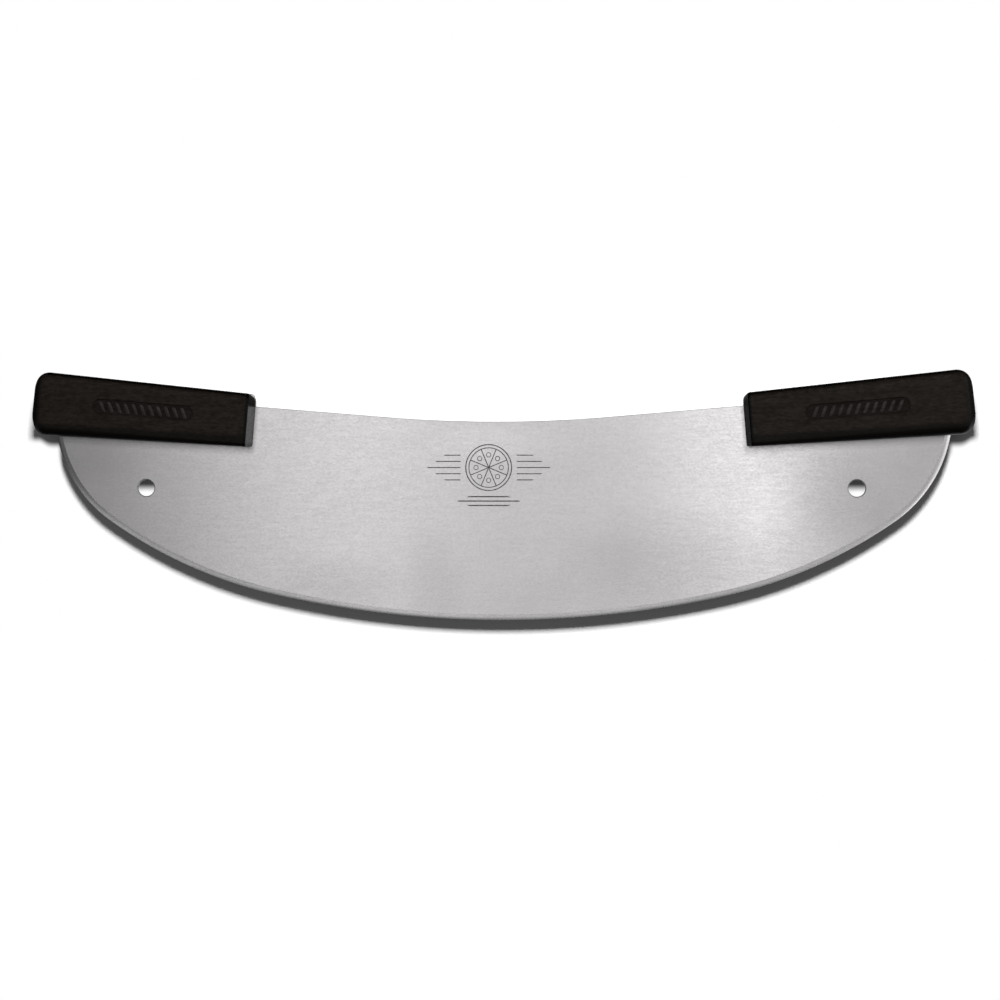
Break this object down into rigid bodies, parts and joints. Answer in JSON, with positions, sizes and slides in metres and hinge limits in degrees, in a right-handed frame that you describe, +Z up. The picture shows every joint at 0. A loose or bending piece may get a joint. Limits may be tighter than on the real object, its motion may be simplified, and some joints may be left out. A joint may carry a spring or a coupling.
{
  "type": "rocking pizza knife",
  "caption": "Crescent steel blade with a plastic handle moulded over each end, pressed down and rocked to slice flat food such as pizza, with hanging holes near the tips.",
  "frame": {"origin": "lowest point of the cutting edge, on the blade's middle plane, where the knife touches the board as it rocks", "axes": "+Z up from the cutting edge to the handles, X along the blade, Y through its thickness with the pictured face towards -Y"},
  "size_m": [0.535, 0.022, 0.1411],
  "materials": {
    "blade_steel": "stainless steel brushed along the blade, with a finer ground band at the cutting edge",
    "handle_plastic": "near-black moulded plastic with a fine lengthwise texture"
  },
  "bodies": {
    "root": {"blade": "blade_steel", "left_handle": "handle_plastic", "right_handle": "handle_plastic"}
  },
  "joints": []
}
